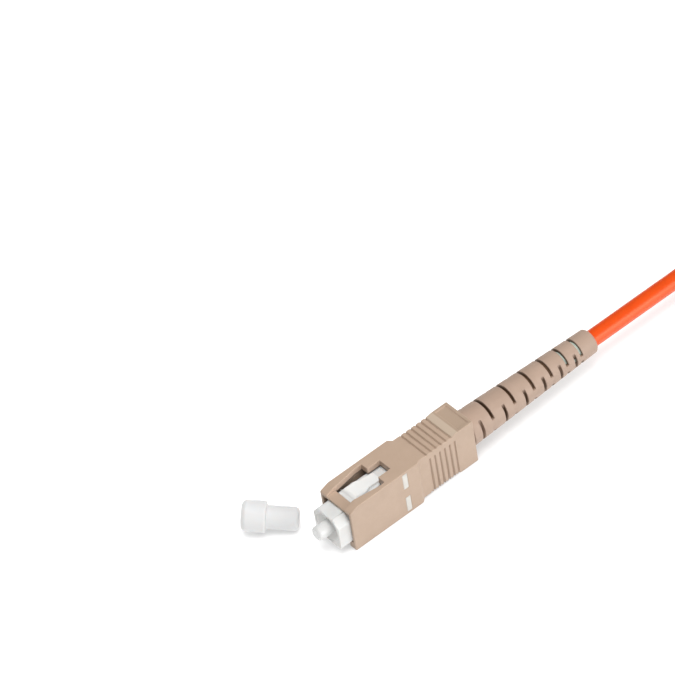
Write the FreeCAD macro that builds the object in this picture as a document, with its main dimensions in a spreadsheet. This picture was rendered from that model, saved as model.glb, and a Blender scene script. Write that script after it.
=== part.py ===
"""Simplex SC fibre plug on a cable, with its dust cap lying beside it, in millimetres.

X runs along the ferrule towards its tip and Z is up. The plug lies flat on one narrow face
of its grip housing. The origin is on that face, behind the lower window, at Z = 0.
"""
import FreeCAD, Part
import math
import os
import re
import Sketcher

SIZES = {
    # Grip housing, measured back from its front plane.
    "grip_front": 13.0,
    "grip_length": 26.0,
    "grip_width": 7.4,
    "grip_height": 9.0,
    "nose_length": 14.0,
    "nose_taper": 0.7,
    "rear_width": 6.36,
    "waist_height": 8.55,
    "tail_height": 8.9,
    "tail_start": 22.85,
    "tail_ramp": 1.3,
    "rail_bevel_run": 1.7,
    "rail_bevel_drop": 0.65,
    "bridge_length": 1.9,
    "bridge_thickness": 0.5,
    "bay_front_width": 4.3,
    "bay_front_end": 2.4,
    "bay_width": 5.6,
    "bay_end": 7.85,
    "bay_flare": 4.1,
    "slot_width": 2.6,
    "slot_end": 10.4,
    "housing_end": 18.0,
    "grip_travel": 1.5,
    "travel_gap": 0.2,
    "barrel_gap": 0.1,
    "tail_bore_radius": 2.6,
    "key_width": 2.0,
    "key_depth": 0.65,
    "key_start": 2.5,
    "key_end": 13.2,
    "rib_count": 6,
    "rib_pitch": 1.03,
    "rib_groove": 0.24,
    "rib_depth": 0.22,
    "rib_first_top": 16.3,
    "rib_first_side": 16.85,
    "rib_side_top": 2.95,
    "panel_start": 23.3,
    "panel_length": 2.15,
    "panel_width": 5.4,
    "panel_depth": 0.25,
    "cut_margin": 1.0,
    # Inlaid marker bars in both wide faces of the grip.
    "bar_start": 10.8,
    "bar_width": 0.95,
    "bar_length": 3.1,
    "bar_spread": 2.5,
    "bar_depth": 0.4,
    "bar_sink": 0.03,
    # Plug frame, its front cavity and its latch ears.
    "frame_reach": 2.3,
    "frame_shoulder": 12.0,
    "frame_end": 16.0,
    "frame_width": 6.1,
    "frame_height": 6.05,
    "frame_bevel_across": 1.3,
    "frame_bevel_down": 1.5,
    "frame_foot_bevel": 0.35,
    "frame_gap": 0.1,
    "frame_tail_radius": 2.65,
    "cavity_radius": 2.55,
    "cavity_end": 2.0,
    "web_thickness": 1.0,
    "web_bore_radius": 1.85,
    "barrel_radius": 2.15,
    "ear_start": 2.3,
    "ear_ramp": 0.9,
    "ear_flat_end": 5.0,
    "ear_neck_run": 1.0,
    "ear_end": 8.6,
    "ear_width": 3.3,
    "ear_neck_width": 2.2,
    "ear_rise": 0.62,
    "ear_tail_rise": 0.3,
    # Ferrule group, which floats on its spring.
    "ferrule_reach": 4.6,
    "ferrule_length": 10.5,
    "ferrule_radius": 1.25,
    "ferrule_bevel": 0.35,
    "ferrule_seat_radius": 1.05,
    "fibre_radius": 0.0625,
    "fibre_gap": 0.003,
    "flange_gap": 0.02,
    "flange_head": 2.0,
    "flange_radius": 2.08,
    "flange_length": 6.0,
    "flange_seat": 3.0,
    "stem_radius": 1.52,
    "guide_radius": 0.7,
    "guide_bore": 0.5,
    "guide_length": 6.5,
    "spring_wire": 0.15,
    "spring_gap": 0.01,
    "spring_sides": 4,
    "spring_radius": 1.76,
    "spring_turns": 5.0,
    # Stop ring, crimp and strain relief.
    "stop_start": 11.1,
    "stop_gap": 0.03,
    "stop_collar": 1.0,
    "collar_radius": 2.45,
    "post_radius": 1.72,
    "post_end": 22.4,
    "post_bore": 0.9,
    "buffer_radius": 0.45,
    "yarn_thickness": 0.14,
    "yarn_gap": 0.01,
    "yarn_lead": 0.3,
    "crimp_lead": 0.2,
    "crimp_wall": 0.2,
    "crimp_end": 25.0,
    "crimp_step": 23.0,
    "crimp_neck": 0.4,
    "boot_neck_radius": 2.45,
    "boot_gap": 0.04,
    "boot_shoulder": 26.1,
    "boot_end": 53.2,
    "boot_front_radius": 3.1,
    "boot_back_radius": 2.18,
    "boot_front_edge": 0.2,
    "boot_back_edge": 0.3,
    "boot_lip": 1.5,
    "boot_step_gap": 0.1,
    "boot_skin": 0.25,
    "boot_skin_end": 46.5,
    "sleeve_thickness": 0.17,
    "sleeve_gap": 0.03,
    "sleeve_lead": 0.2,
    "notch_count": 6,
    "notch_width": 0.55,
    "notch_ratio": 0.9,
    "notch_first_top": 30.4,
    "notch_pitch_top": 4.7,
    "notch_first_side": 28.05,
    "notch_pitch_side": 4.95,
    "notch_floor_top": 1.1,
    "notch_floor_side": 2.0,
    "notch_fall_top": 0.13,
    "notch_fall_side": 0.06,
    # Cable.
    "cable_radius": 1.5,
    "cable_start": 23.3,
    "coil_behind": 95.0,
    "coil_aside": 6.3,
    "coil_middle_radius": 18.0,
    "coil_across": 2,
    "coil_layers": 4,
    "coil_bevel": 1.0,
    # Dust cap.
    "cap_length": 9.2,
    "cap_head_length": 3.95,
    "cap_head_radius": 2.55,
    "cap_head_edge": 0.55,
    "cap_tube_radius": 1.92,
    "cap_tip_edge": 0.45,
    "cap_bore_depth": 7.6,
    "cap_bore_gap": 0.03,
    "cap_yaw": 134.6,
    "cap_ahead": 22.2,
    "cap_aside": -13.1,
}

CABLE_ROUTE = [
    (-64.0, 0.0, 4.5),
    (-75.5, -4.6, 2.5),
    (-86.5, -11.2, 1.5),
]

doc = FreeCAD.newDocument("FibrePlug")
sheet = doc.addObject("Spreadsheet::Sheet", "Sizes")
for row, (alias, size) in enumerate(SIZES.items(), start=1):
    sheet.set(f"A{row}", alias)
    sheet.set(f"B{row}", str(size))
    sheet.setAlias(f"B{row}", alias)
doc.recompute()


def formula(text):
    """Return text with every size name pointing at its cell of the sheet."""
    return re.sub(r"[a-z]\w*", lambda word: f"Sizes.{word.group()}" if word.group() in SIZES else word.group(), text)


def bind(target, size, text):
    """Tie one property of an object to a formula of sheet sizes."""
    target.setExpression(size, formula(text))


AXIS = "grip_height / 2"


def behind(distance):
    """X of a point that lies this far behind the grip's front plane."""
    return f"grip_front - ({distance})"


def around(half):
    """A span of this half-width on both sides of zero."""
    return f"-({half})", f"{half}"


def above_axis(low, high):
    """A vertical span between two heights over the ferrule's axis."""
    return f"{AXIS} + ({low})", f"{AXIS} + ({high})"


def block(name, x_span, y_span, z_span):
    """A box given by its span along each axis."""
    solid = doc.addObject("Part::Box", name)
    spans = (x_span, y_span, z_span)
    for axis, side, (low, high) in zip("xyz", ("Length", "Width", "Height"), spans):
        bind(solid, side, f"({high}) - ({low})")
        bind(solid, f"Placement.Base.{axis}", low)
    return solid


def rod(name, radius, x_back, x_front):
    """A cylinder on the ferrule's axis."""
    solid = doc.addObject("Part::Cylinder", name)
    solid.Placement = FreeCAD.Placement(FreeCAD.Vector(), FreeCAD.Rotation(FreeCAD.Vector(0, 1, 0), 90))
    bind(solid, "Radius", radius)
    bind(solid, "Height", f"({x_front}) - ({x_back})")
    bind(solid, "Placement.Base.x", x_back)
    bind(solid, "Placement.Base.z", AXIS)
    return solid


def outline(body, plane, corners):
    """A closed polygon on one origin plane of a body, each corner tied to its two formulas."""
    sketch = body.newObject("Sketcher::SketchObject", f"{body.Name}Outline")
    origin_plane = next(item for item in body.Origin.OriginFeatures if item.Role == plane)
    sketch.AttachmentSupport = [(origin_plane, "")]
    sketch.MapMode = "FlatFace"
    points = [FreeCAD.Vector(*(float(sketch.evalExpression(formula(part))) for part in corner), 0)
              for corner in corners]
    for start, end in zip(points, points[1:] + points[:1]):
        sketch.addGeometry(Part.LineSegment(start, end), False)
    for index, corner in enumerate(corners):
        following = (index + 1) % len(corners)
        sketch.addConstraint(Sketcher.Constraint("Coincident", index, 2, following, 1))
        for direction, part in zip(("DistanceX", "DistanceY"), corner):
            value = getattr(points[index], direction[-1].lower())
            number = sketch.addConstraint(Sketcher.Constraint(direction, -1, 1, index, 1, value))
            sketch.setExpression(f"Constraints[{number}]", formula(part))
    return sketch


def turned(name, corners):
    """A body of revolution about the ferrule's axis, from corners of (X, radius)."""
    body = doc.addObject("PartDesign::Body", name)
    sketch = outline(body, "XZ_Plane", corners)
    spin = body.newObject("PartDesign::Revolution", f"{name}Spin")
    spin.Profile = sketch
    spin.ReferenceAxis = (sketch, ["H_Axis"])
    spin.Angle = 360
    sketch.Visibility = False
    bind(body, "Placement.Base.z", AXIS)
    return body


def plate(name, plane, corners, thickness):
    """A body padded evenly to both sides of one origin plane, at the height of the axis."""
    body = doc.addObject("PartDesign::Body", name)
    sketch = outline(body, plane, corners)
    pad = body.newObject("PartDesign::Pad", f"{name}Pad")
    pad.Profile = sketch
    pad.SideType = "Symmetric"
    bind(pad, "Length", thickness)
    sketch.Visibility = False
    bind(body, "Placement.Base.z", AXIS)
    return body


def mirrored(half_outline):
    """Close a half outline of (X, half-width) with its mirror image."""
    return half_outline + [(x, f"-({half})") for x, half in reversed(half_outline)]


def fuse(name, pieces):
    """Several solids joined into one."""
    joined = doc.addObject("Part::MultiFuse", name)
    joined.Shapes = pieces
    return joined


def cut(name, base, tools):
    """Base with one or more tools taken away."""
    result = doc.addObject("Part::Cut", name)
    result.Base = base
    result.Tool = tools[0] if len(tools) == 1 else fuse(f"{name}Tools", tools)
    return result


# Grip housing ---------------------------------------------------------------------------

def grip_blank():
    """The grip's outside: the side outline and the plan outline, each padded and intersected."""
    rails = [
        (behind("0"), "grip_height / 2 - rail_bevel_drop"),
        (behind("rail_bevel_run"), "grip_height / 2"),
    ]
    back = [
        (behind("nose_length"), "grip_height / 2"),
        (behind("nose_length + nose_taper"), "waist_height / 2"),
        (behind("tail_start - tail_ramp"), "waist_height / 2"),
        (behind("tail_start"), "tail_height / 2"),
        (behind("grip_length"), "tail_height / 2"),
    ]
    side = rails + mirrored(back) + [(behind("0"), "-grip_height / 2")]
    plan = mirrored([
        (behind("0"), "grip_width / 2"),
        (behind("nose_length"), "grip_width / 2"),
        (behind("nose_length + nose_taper"), "rear_width / 2"),
        (behind("grip_length"), "rear_width / 2"),
    ])
    blank = doc.addObject("Part::Common", "GripBlank")
    blank.Base = plate("GripSide", "XZ_Plane", side, "grip_width")
    blank.Tool = plate("GripPlan", "XY_Plane", plan, "grip_height")
    return blank


def key_rib():
    """The polarising key on the wide face at -Y."""
    return block("KeyRib", (behind("key_end"), behind("key_start")),
                 ("-(grip_width / 2 + key_depth)", "-(grip_width / 2 - bar_depth)"),
                 above_axis("-key_width / 2", "key_width / 2"))


def grip_windows():
    """The latch bay and its narrow slot, open through both narrow faces."""
    bay = mirrored([
        (behind("bridge_length"), "bay_front_width / 2"),
        (behind("bay_front_end"), "bay_front_width / 2"),
        (behind("bay_front_end + bay_flare"), "bay_width / 2"),
        (behind("bay_end"), "bay_width / 2"),
        (behind("bay_end"), "slot_width / 2"),
        (behind("slot_end"), "slot_width / 2"),
    ])
    return plate("LatchBay", "XY_Plane", bay, "grip_height + 2 * cut_margin")


def bridge_channels():
    """The steps that leave a thin bridge between the rails at the front, above and below."""
    bridge_top = "frame_height / 2 + frame_gap + bridge_thickness"
    spans = {"Upper": (bridge_top, "grip_height"), "Lower": ("-grip_height", f"-({bridge_top})")}
    return [block(f"Channel{side}", (behind("bay_front_end"), behind("-cut_margin")),
                  around("bay_front_width / 2"), above_axis(*span)) for side, span in spans.items()]


def grip_grooves():
    """Finger grooves across all four faces of the grip's rear half."""
    grooves = []
    for index in range(SIZES["rib_count"]):
        for side, sign in (("Upper", 1), ("Lower", -1)):
            middle = f"rib_first_top + rib_pitch * {index}"
            depth_span = ("waist_height / 2 - rib_depth", "waist_height / 2 + cut_margin")
            if sign < 0:
                depth_span = tuple(f"-({edge})" for edge in reversed(depth_span))
            grooves.append(block(f"Groove{side}{index}",
                                 (behind(f"{middle} + rib_groove / 2"), behind(f"{middle} - rib_groove / 2")),
                                 around("grip_width"), above_axis(*depth_span)))
        for side, sign in (("Left", 1), ("Right", -1)):
            middle = f"rib_first_side + rib_pitch * {index}"
            depth_span = ("rear_width / 2 - rib_depth", "rear_width / 2 + cut_margin")
            if sign < 0:
                depth_span = tuple(f"-({edge})" for edge in reversed(depth_span))
            grooves.append(block(f"Groove{side}{index}",
                                 (behind(f"{middle} + rib_groove / 2"), behind(f"{middle} - rib_groove / 2")),
                                 depth_span, above_axis("-grip_height", "rib_side_top")))
    return grooves


def bar_spans(index, clearance="0"):
    """Spans of one marker bar, or of its pocket; odd ones lie low, the last two on the far face."""
    middle = "bar_spread" if index % 2 == 0 else "-bar_spread"
    x_span = (behind("bar_start + bar_width"), behind("bar_start"))
    y_span = ("grip_width / 2 - bar_depth", f"grip_width / 2 - ({clearance})")
    if index >= 2:
        y_span = tuple(f"-({edge})" for edge in reversed(y_span))
    return x_span, y_span, above_axis(f"{middle} - bar_length / 2", f"{middle} + bar_length / 2")


def grip_housing():
    """The outer housing, hollow for the frame and its travel, with the boot's bore behind."""
    hollow = block("FrameHollow", (behind("frame_shoulder + grip_travel + travel_gap"), behind("-cut_margin")),
                   around("frame_width / 2 + frame_gap"),
                   above_axis("-(frame_height / 2 + frame_gap)", "frame_height / 2 + frame_gap"))
    barrel_bore = rod("BarrelBore", "frame_tail_radius + barrel_gap", behind("housing_end"),
                      behind("frame_shoulder"))
    tail_bore = rod("TailBore", "tail_bore_radius", behind("grip_length + cut_margin"),
                    behind("housing_end - cut_margin"))
    panel = block("PanelRecess", (behind("panel_start + panel_length"), behind("panel_start")),
                  around("panel_width / 2"), above_axis("tail_height / 2 - panel_depth", "tail_height"))
    pockets = [block(f"BarPocket{index}", *bar_spans(index, "-cut_margin")) for index in range(4)]
    tools = [hollow, barrel_bore, tail_bore, grip_windows(), panel] + bridge_channels() + grip_grooves() + pockets
    return cut("grip_housing", fuse("GripSolid", [grip_blank(), key_rib()]), tools)


def marker_bars():
    """The four inlaid bars."""
    return [block(f"marker_bar_{index + 1}", *bar_spans(index, "bar_sink")) for index in range(4)]


# Plug frame -----------------------------------------------------------------------------

def frame_blank():
    """The frame's section, padded along its length: deep bevels above and small ones below."""
    body = doc.addObject("PartDesign::Body", "FrameSection")
    right = [
        ("frame_width / 2 - frame_foot_bevel", "-frame_height / 2"),
        ("frame_width / 2", "-(frame_height / 2 - frame_foot_bevel)"),
        ("frame_width / 2", "frame_height / 2 - frame_bevel_down"),
        ("frame_width / 2 - frame_bevel_across", "frame_height / 2"),
    ]
    left = [(f"-({across})", height) for across, height in reversed(right)]
    sketch = outline(body, "YZ_Plane", right + left)
    pad = body.newObject("PartDesign::Pad", "FramePad")
    pad.Profile = sketch
    bind(pad, "Length", "frame_reach + frame_shoulder")
    sketch.Visibility = False
    bind(body, "Placement.Base.x", behind("frame_shoulder"))
    bind(body, "Placement.Base.z", AXIS)
    return body


def latch_ears():
    """The ears that the bay leaves free, above and below: a wide head and a neck in the slot."""
    rise = mirrored([
        (behind("ear_start"), "frame_height / 2"),
        (behind("ear_start + ear_ramp"), "frame_height / 2 + ear_rise"),
        (behind("ear_flat_end"), "frame_height / 2 + ear_rise"),
        (behind("ear_end"), "frame_height / 2 + ear_tail_rise"),
    ])
    spread = mirrored([
        (behind("ear_start"), "ear_width / 2"),
        (behind("ear_flat_end"), "ear_width / 2"),
        (behind("ear_flat_end + ear_neck_run"), "ear_neck_width / 2"),
        (behind("ear_end"), "ear_neck_width / 2"),
    ])
    ears = doc.addObject("Part::Common", "LatchEars")
    ears.Base = plate("EarSide", "XZ_Plane", rise, "ear_width")
    ears.Tool = plate("EarPlan", "XY_Plane", spread, "frame_height + 2 * ear_rise")
    return ears


def plug_frame():
    """White inner frame: a cavity for the mating sleeve, a web, a spring barrel and two ears."""
    tail = rod("FrameTail", "frame_tail_radius", behind("frame_end"), behind("frame_shoulder - cut_margin"))
    solid = fuse("FrameSolid", [frame_blank(), tail, latch_ears()])
    cavity = rod("SleeveCavity", "cavity_radius", behind("cavity_end"), behind("-frame_reach - cut_margin"))
    web_hole = rod("WebHole", "web_bore_radius", behind("frame_end"), behind("0"))
    barrel = rod("SpringBarrel", "barrel_radius", behind("frame_end + cut_margin"),
                 behind("cavity_end + web_thickness"))
    return cut("plug_frame", solid, [cavity, web_hole, barrel])


# Ferrule group --------------------------------------------------------------------------

FERRULE_TIP = behind("-ferrule_reach")
FERRULE_BACK = behind("ferrule_length - ferrule_reach")
FLANGE_FRONT = behind("cavity_end + web_thickness + flange_gap")


def ferrule():
    """The ceramic pin, with a smaller seat inside its flange."""
    hole = "fibre_radius + fibre_gap"
    return turned("ferrule", [
        (FERRULE_TIP, hole),
        (FERRULE_TIP, "ferrule_radius - ferrule_bevel"),
        (f"{FERRULE_TIP} - ferrule_bevel", "ferrule_radius"),
        (FLANGE_FRONT, "ferrule_radius"),
        (FLANGE_FRONT, "ferrule_seat_radius"),
        (FERRULE_BACK, "ferrule_seat_radius"),
        (FERRULE_BACK, hole),
    ])


def ferrule_flange():
    """The metal holder: a head that the spring pushes and a stem inside the spring."""
    head_back = f"{FLANGE_FRONT} - flange_head"
    back = f"{FLANGE_FRONT} - flange_length"
    return turned("ferrule_flange", [
        (FLANGE_FRONT, "ferrule_seat_radius"),
        (FLANGE_FRONT, "flange_radius"),
        (head_back, "flange_radius"),
        (head_back, "stem_radius"),
        (back, "stem_radius"),
        (back, "guide_radius"),
        (FERRULE_BACK, "guide_radius"),
        (FERRULE_BACK, "ferrule_seat_radius"),
    ])


def guide_tube():
    """The thin tube that leads the buffered fibre into the flange."""
    back = f"{FERRULE_BACK} - guide_length"
    return turned("guide_tube", [
        (FERRULE_BACK, "guide_bore"),
        (FERRULE_BACK, "guide_radius"),
        (back, "guide_radius"),
        (back, "guide_bore"),
    ])


def bare_fibre():
    """The glass fibre in the ferrule's hole."""
    return rod("bare_fibre", "fibre_radius", FERRULE_BACK, FERRULE_TIP)


def buffered_fibre():
    """The buffered fibre from the ferrule to the crimp."""
    return rod("buffered_fibre", "buffer_radius", behind("cable_start"), FERRULE_BACK)


def spring():
    """A helix of wire between the flange head and the stop ring."""
    back = behind("stop_start - spring_wire - spring_gap")
    front = f"{FLANGE_FRONT} - flange_head - spring_wire - spring_gap"
    path = doc.addObject("Part::Helix", "SpringPath")
    path.Placement = FreeCAD.Placement(FreeCAD.Vector(), FreeCAD.Rotation(FreeCAD.Vector(0, 1, 0), 90))
    bind(path, "Radius", "spring_radius")
    bind(path, "Height", f"({front}) - ({back})")
    bind(path, "Pitch", f"(({front}) - ({back})) / spring_turns")
    bind(path, "Placement.Base.x", back)
    bind(path, "Placement.Base.z", AXIS)
    wire = doc.addObject("Part::RegularPolygon", "SpringWire")
    wire.Placement = FreeCAD.Placement(FreeCAD.Vector(), FreeCAD.Rotation(FreeCAD.Vector(1, 0, 0), 90))
    bind(wire, "Polygon", "spring_sides")
    bind(wire, "Circumradius", "spring_wire")
    bind(wire, "Placement.Base.x", back)
    bind(wire, "Placement.Base.z", f"{AXIS} - spring_radius")
    coil = doc.addObject("Part::Sweep", "spring")
    coil.Sections = [wire]
    coil.Spine = (path, ["Edge1"])
    coil.Solid = True
    coil.Frenet = True
    return coil


# Crimp and strain relief ----------------------------------------------------------------

def stop_ring():
    """Threaded-in metal ring with a collar behind the frame and a post for the crimp."""
    collar_back = behind("frame_end + stop_collar")
    return turned("stop_ring", [
        (behind("stop_start"), "post_bore"),
        (behind("stop_start"), "barrel_radius - stop_gap"),
        (behind("frame_end"), "barrel_radius - stop_gap"),
        (behind("frame_end"), "collar_radius"),
        (collar_back, "collar_radius"),
        (collar_back, "post_radius"),
        (behind("post_end"), "post_radius"),
        (behind("post_end"), "post_bore"),
    ])


YARN_RADIUS = "post_radius + yarn_gap + yarn_thickness"
CRIMP_BORE = f"{YARN_RADIUS} + yarn_gap"
CRIMP_RADIUS = f"{CRIMP_BORE} + crimp_wall"
JACKET_BORE = "cable_radius + sleeve_gap"


def aramid_yarn():
    """The layer of strength yarn folded over the post and held by the crimp."""
    front = behind("frame_end + stop_collar + yarn_lead")
    back = behind("post_end")
    return turned("aramid_yarn", [
        (front, "post_radius + yarn_gap"),
        (front, YARN_RADIUS),
        (back, YARN_RADIUS),
        (back, "post_radius + yarn_gap"),
    ])


def crimp_sleeve():
    """The crimped tube over the yarn, necked down onto the jacket."""
    front = behind("frame_end + stop_collar + crimp_lead")
    return turned("crimp_sleeve", [
        (front, CRIMP_BORE),
        (front, CRIMP_RADIUS),
        (behind("crimp_step"), CRIMP_RADIUS),
        (behind("crimp_step + crimp_neck"), f"{JACKET_BORE} + crimp_wall"),
        (behind("crimp_end"), f"{JACKET_BORE} + crimp_wall"),
        (behind("crimp_end"), JACKET_BORE),
        (behind("crimp_step"), JACKET_BORE),
        (behind("crimp_step"), CRIMP_BORE),
    ])


SLEEVE_RADIUS = f"{JACKET_BORE} + sleeve_thickness"
BOOT_BORE = f"{SLEEVE_RADIUS} + sleeve_gap"


def cable_sleeve():
    """The pale tube round the jacket, seen through the last notches of the boot."""
    front = behind("crimp_end + sleeve_lead")
    back = behind("boot_end - boot_lip - boot_step_gap")
    return turned("cable_sleeve", [
        (front, JACKET_BORE),
        (front, SLEEVE_RADIUS),
        (back, SLEEVE_RADIUS),
        (back, JACKET_BORE),
    ])


def boot_notches(family, floor_step):
    """Pairs of cross cuts whose spacing shortens towards the cable."""
    notches = []
    for index in range(SIZES["notch_count"]):
        run = f"notch_pitch_{family} * (1 - notch_ratio ^ {index}) / (1 - notch_ratio)"
        middle = f"notch_first_{family} + {run}"
        floor = f"notch_floor_{family} - {floor_step} * {index}"
        x_span = (behind(f"{middle} + notch_width / 2"), behind(f"{middle} - notch_width / 2"))
        for sign, side in ((1, "A"), (-1, "B")):
            reach = (floor, "boot_front_radius + cut_margin")
            if sign < 0:
                reach = tuple(f"-({edge})" for edge in reversed(reach))
            across = around("boot_front_radius + cut_margin")
            if family == "top":
                spans = (x_span, across, above_axis(*reach))
            else:
                spans = (x_span, reach, above_axis(*across))
            notches.append(block(f"Notch_{family}_{side}{index}", *spans))
    return notches


def boot():
    """Tapered strain relief with staggered notches; its neck sits inside the grip's tail."""
    neck_front = behind("frame_end + stop_collar")
    shoulder = behind("boot_shoulder")
    lip = behind("boot_end - boot_lip")
    blank = turned("BootBlank", [
        (neck_front, f"{CRIMP_RADIUS} + boot_gap"),
        (neck_front, "boot_neck_radius"),
        (shoulder, "boot_neck_radius"),
        (shoulder, "boot_front_radius - boot_front_edge"),
        (f"{shoulder} - boot_front_edge", "boot_front_radius"),
        (f"{behind('boot_end')} + boot_back_edge", "boot_back_radius"),
        (behind("boot_end"), "boot_back_radius - boot_back_edge"),
        (behind("boot_end"), JACKET_BORE),
        (lip, JACKET_BORE),
        (lip, BOOT_BORE),
        (behind("crimp_end + boot_step_gap"), BOOT_BORE),
        (behind("crimp_end + boot_step_gap"), f"{CRIMP_RADIUS} + boot_gap"),
    ])
    notches = boot_notches("top", "notch_fall_top") + boot_notches("side", "notch_fall_side")
    skin = rod("BootSkin", f"{BOOT_BORE} + boot_skin", behind("boot_skin_end"), behind("boot_shoulder"))
    blind = cut("BlindNotches", fuse("AllNotches", notches), [skin])
    return cut("boot", blank, [blind])


# Cable ----------------------------------------------------------------------------------

RUN_SHARE = 0.45


def rounded_path(points):
    """Straight runs joined by tangent arcs, each as large as its two runs allow."""
    edges = []
    last = points[0]
    for before, corner, after in zip(points, points[1:], points[2:]):
        back = (before - corner).normalize()
        ahead = (after - corner).normalize()
        half_turn = (math.pi - back.getAngle(ahead)) / 2
        setback = RUN_SHARE * min(before.distanceToPoint(corner), after.distanceToPoint(corner))
        radius = setback / math.tan(half_turn)
        start = corner + back * setback
        end = corner + ahead * setback
        middle = corner + (back + ahead).normalize() * (radius / math.cos(half_turn) - radius)
        edges.append(Part.LineSegment(last, start).toShape())
        edges.append(Part.Arc(start, middle, end).toShape())
        last = end
        print(f"cable arc radius {radius:.1f} mm")
    edges.append(Part.LineSegment(last, points[-1]).toShape())
    return Part.Wire(edges)


def cable():
    """The jacketed cable from the crimp to the coil."""
    start = FreeCAD.Vector(SIZES["grip_front"] - SIZES["cable_start"], 0, SIZES["grip_height"] / 2)
    points = [start] + [FreeCAD.Vector(*point) for point in CABLE_ROUTE]
    path = rounded_path(points)
    section = Part.Wire(Part.makeCircle(SIZES["cable_radius"], start, points[1] - start))
    tube = doc.addObject("Part::Feature", "cable")
    tube.Shape = path.makePipeShell([section], True, False)
    expected = math.pi * SIZES["cable_radius"] ** 2 * path.Length
    print(f"cable {path.Length:.1f} mm long, volume {tube.Shape.Volume:.1f} of {expected:.1f}")
    return tube


def cable_coil():
    """The outer shape of the coiled rest of the cable, lying on the floor."""
    inner = "coil_middle_radius - coil_across * cable_radius"
    outer = "coil_middle_radius + coil_across * cable_radius"
    top = "coil_layers * cable_radius * 2"
    body = doc.addObject("PartDesign::Body", "cable_coil")
    sketch = outline(body, "XZ_Plane", [
        (inner, "0"),
        (outer, "0"),
        (outer, f"{top} - coil_bevel"),
        (f"{outer} - coil_bevel", top),
        (inner, top),
    ])
    spin = body.newObject("PartDesign::Revolution", "CoilSpin")
    spin.Profile = sketch
    spin.ReferenceAxis = (sketch, ["V_Axis"])
    spin.Angle = 360
    sketch.Visibility = False
    bind(body, "Placement.Base.x", "-coil_behind")
    bind(body, "Placement.Base.y", "coil_aside")
    return body


# Dust cap -------------------------------------------------------------------------------

def dust_cap():
    """The taken-off cap, lying on the rim of its head and its closed tip, its mouth to the back."""
    bore = "ferrule_radius + cap_bore_gap"
    body = turned("dust_cap", [
        ("0", bore),
        ("0", "cap_head_radius - cap_head_edge"),
        ("cap_head_edge", "cap_head_radius"),
        ("cap_head_length", "cap_head_radius"),
        ("cap_head_length", "cap_tube_radius"),
        ("cap_length - cap_tip_edge", "cap_tube_radius"),
        ("cap_length", "cap_tube_radius - cap_tip_edge"),
        ("cap_length", "0"),
        ("cap_bore_depth", "0"),
        ("cap_bore_depth", bore),
    ])
    body.setExpression("Placement.Base.z", None)
    rim = SIZES["cap_head_length"]
    run = SIZES["cap_length"] - SIZES["cap_tip_edge"] - rim
    tilt = math.atan2(SIZES["cap_head_radius"] - SIZES["cap_tube_radius"], run)
    height = SIZES["cap_head_radius"] * math.cos(tilt) + rim * math.sin(tilt)
    turn = FreeCAD.Rotation(FreeCAD.Vector(0, 0, 1), SIZES["cap_yaw"])
    lean = FreeCAD.Rotation(FreeCAD.Vector(0, 1, 0), math.degrees(tilt))
    base = FreeCAD.Vector(SIZES["cap_ahead"], SIZES["cap_aside"], height)
    body.Placement = FreeCAD.Placement(base, turn * lean)
    return body


def main():
    """Build every sub-part, check the document and write one file for each."""
    pieces = [grip_housing(), *marker_bars(), plug_frame(), ferrule(), ferrule_flange(), guide_tube(),
              bare_fibre(), buffered_fibre(), spring(), stop_ring(), aramid_yarn(), crimp_sleeve(),
              cable_sleeve(), boot(), cable(), cable_coil(), dust_cap()]
    doc.recompute()
    for item in doc.Objects:
        if "Invalid" in item.State or "Error" in item.State:
            raise RuntimeError(f"{item.Name} did not build: {item.State}")
    os.makedirs("parts", exist_ok=True)
    for piece in pieces:
        shape = piece.Shape
        if shape.isNull() or not shape.isValid() or shape.Volume <= 0:
            raise RuntimeError(f"{piece.Label} has no valid shape")
        print(f"{piece.Label}: {len(shape.Solids)} solid, {shape.Volume:.3f} mm3, {shape.BoundBox}")
        shape.exportStep(f"parts/{piece.Label}.step")


main()
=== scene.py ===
"""Studio scene of a push-pull fibre plug with its cable and its taken-off dust cap.

Every length is in metres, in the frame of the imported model: X runs along the ferrule towards
its tip, Y towards the wide face that shows, and Z up from the surface that the plug lies on.
"""
import logging
import math
from collections.abc import Callable
from dataclasses import dataclass, field
from enum import Enum

import bmesh
import bpy
from mathutils import Matrix, Vector, kdtree


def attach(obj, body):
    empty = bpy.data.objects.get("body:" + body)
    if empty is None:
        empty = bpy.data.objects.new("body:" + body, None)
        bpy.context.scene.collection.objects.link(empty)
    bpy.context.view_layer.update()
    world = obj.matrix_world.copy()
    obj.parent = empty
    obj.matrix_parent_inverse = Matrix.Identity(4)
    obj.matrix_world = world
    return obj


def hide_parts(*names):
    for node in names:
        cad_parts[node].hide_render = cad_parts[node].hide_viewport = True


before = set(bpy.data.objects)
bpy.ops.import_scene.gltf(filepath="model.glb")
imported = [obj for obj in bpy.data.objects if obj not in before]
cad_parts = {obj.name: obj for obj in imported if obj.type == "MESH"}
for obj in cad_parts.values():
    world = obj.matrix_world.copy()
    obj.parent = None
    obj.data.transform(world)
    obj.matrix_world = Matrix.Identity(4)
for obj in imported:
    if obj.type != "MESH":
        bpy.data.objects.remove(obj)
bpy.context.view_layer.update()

log = logging.getLogger("fibre_plug")
MM = 0.001
Colour = tuple[float, float, float]
Point = tuple[float, float, float]
AXIS_HEIGHT = 4.5 * MM
MERGE_WITHIN = 0.0004 * MM
FLAT_BELOW = math.radians(0.5)
CLEAR_SHARE = 1.3
PROFILE_ROUND = 0.5


class Body(Enum):
    """The moving bodies of the plug."""

    CORE = "core"
    GRIP = "grip"
    FERRULE = "ferrule_group"


# Materials ----------------------------------------------------------------------------------


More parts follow.
